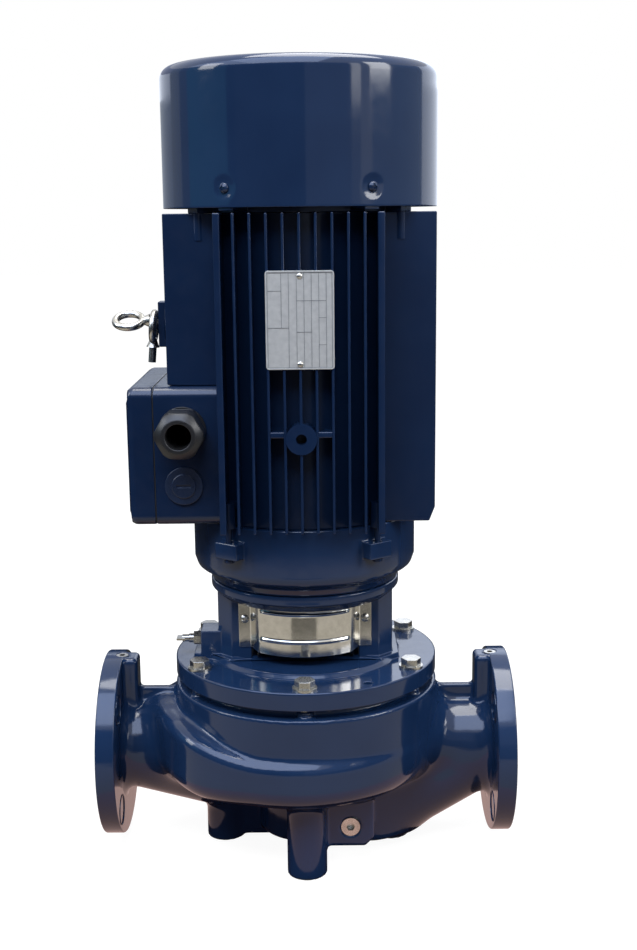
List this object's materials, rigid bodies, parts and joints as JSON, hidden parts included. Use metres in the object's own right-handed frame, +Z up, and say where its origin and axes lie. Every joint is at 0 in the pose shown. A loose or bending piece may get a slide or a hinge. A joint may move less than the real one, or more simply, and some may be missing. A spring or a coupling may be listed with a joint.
{
  "type": "vertical in-line pump",
  "caption": "Vertical in-line centrifugal pump: flanged cast casing, pump head with coupling guard, and a finned fan-cooled motor with terminal box standing on top.",
  "frame": {"origin": "centre of the four foot posts on the floor plane, on the pump and motor axis", "axes": "+Z up along the shaft, +X towards the suction port, -Y towards the nameplate side"},
  "size_m": [0.44, 0.2913, 0.829],
  "materials": {
    "navy_cast_paint": "gloss navy enamel on cast iron",
    "navy_sheet_paint": "gloss navy enamel on drawn sheet steel",
    "polished_stainless": "polished stainless sheet",
    "plate_aluminium": "satin printed aluminium plate",
    "zinc_steel": "bright zinc plated steel",
    "bearing_steel": "ground steel",
    "stainless_turned": "turned stainless steel",
    "cast_iron_bare": "machined cast iron",
    "bronze": "machined bronze",
    "gland_black": "dark grey polyamide",
    "plug_navy": "polyamide painted over in navy",
    "fan_plastic": "black moulded polypropylene",
    "board_plastic": "moulded phenolic",
    "rubber_black": "nitrile rubber",
    "copper_coils": "varnished copper coils",
    "electrical_steel": "laminated electrical steel",
    "ceramic_white": "lapped ceramic",
    "carbon_face": "carbon graphite"
  },
  "bodies": {
    "pump": {"pump_casing": "navy_cast_paint", "casing_wear_ring": "bronze", "casing_o_ring": "rubber_black", "pump_head": "navy_cast_paint", "head_bolts": "zinc_steel", "head_washers": "zinc_steel", "drain_plug": "zinc_steel", "gauge_plugs": "zinc_steel", "seal_seat": "ceramic_white", "guard_front": "polished_stainless", "guard_rear": "polished_stainless", "guard_screws": "zinc_steel", "vent_body": "zinc_steel", "lower_end_shield": "navy_cast_paint", "motor_bolts": "zinc_steel", "motor_frame": "navy_cast_paint", "upper_end_shield": "navy_cast_paint", "shield_bolts": "zinc_steel", "stator_core": "electrical_steel", "stator_windings": "copper_coils", "lower_bearing_outer": "bearing_steel", "upper_bearing_outer": "bearing_steel", "wave_washer": "bearing_steel", "shaft_seal": "rubber_black", "fan_cover": "navy_sheet_paint", "fan_cover_screws": "navy_sheet_paint", "terminal_box": "navy_cast_paint", "terminal_box_cover": "navy_cast_paint", "box_gasket": "rubber_black", "box_cover_screws": "zinc_steel", "terminal_board": "board_plastic", "terminal_studs": "bronze", "gland_body": "gland_black", "gland_nut": "gland_black", "gland_seal": "rubber_black", "blanking_plug": "plug_navy", "nameplate": "plate_aluminium", "nameplate_rivets": "zinc_steel", "lifting_eyebolt": "zinc_steel"},
    "rotor": {"motor_shaft": "bearing_steel", "rotor_core": "electrical_steel", "fan": "fan_plastic", "fan_circlip": "bearing_steel", "lower_bearing_inner": "bearing_steel", "upper_bearing_inner": "bearing_steel", "pump_shaft": "stainless_turned", "shaft_key": "bearing_steel", "clamp_ring": "stainless_turned", "clamp_screw": "zinc_steel", "impeller": "cast_iron_bare", "impeller_nut": "stainless_turned", "impeller_washer": "stainless_turned", "impeller_key": "stainless_turned", "seal_face": "carbon_face", "seal_bellows": "rubber_black", "seal_spring": "stainless_turned"},
    "lower_balls": {"lower_bearing_balls": "bearing_steel"},
    "upper_balls": {"upper_bearing_balls": "bearing_steel"},
    "vent_needle": {"vent_screw": "zinc_steel"},
    "hanging_eyebolt": {"spare_eyebolt": "zinc_steel"}
  },
  "joints": [
    {"name": "rotor_spin", "type": "hinge", "parent": "pump", "child": "rotor", "pos_m": [0, 0, 0.5315], "axis": [0, 0, 1], "continuous": true},
    {"name": "lower_balls_roll", "type": "hinge", "parent": "pump", "child": "lower_balls", "pos_m": [0, 0, 0.324], "axis": [0, 0, 1], "continuous": true},
    {"name": "upper_balls_roll", "type": "hinge", "parent": "pump", "child": "upper_balls", "pos_m": [0, 0, 0.702], "axis": [0, 0, 1], "continuous": true},
    {"name": "vent_turn", "type": "hinge", "parent": "pump", "child": "vent_needle", "pos_m": [-0.132, -0.024, 0.238], "axis": [1, 0, 0], "range_deg": [0, 360]},
    {"name": "eyebolt_swing", "type": "hinge", "parent": "pump", "child": "hanging_eyebolt", "pos_m": [-0.154, 0, 0.577], "axis": [1, 0, 0], "range_deg": [-90, 90]}
  ],
  "couplings": [
    {"joint": "lower_balls_roll", "follows": "rotor_spin", "ratio": 0.4033},
    {"joint": "upper_balls_roll", "follows": "rotor_spin", "ratio": 0.4033}
  ]
}
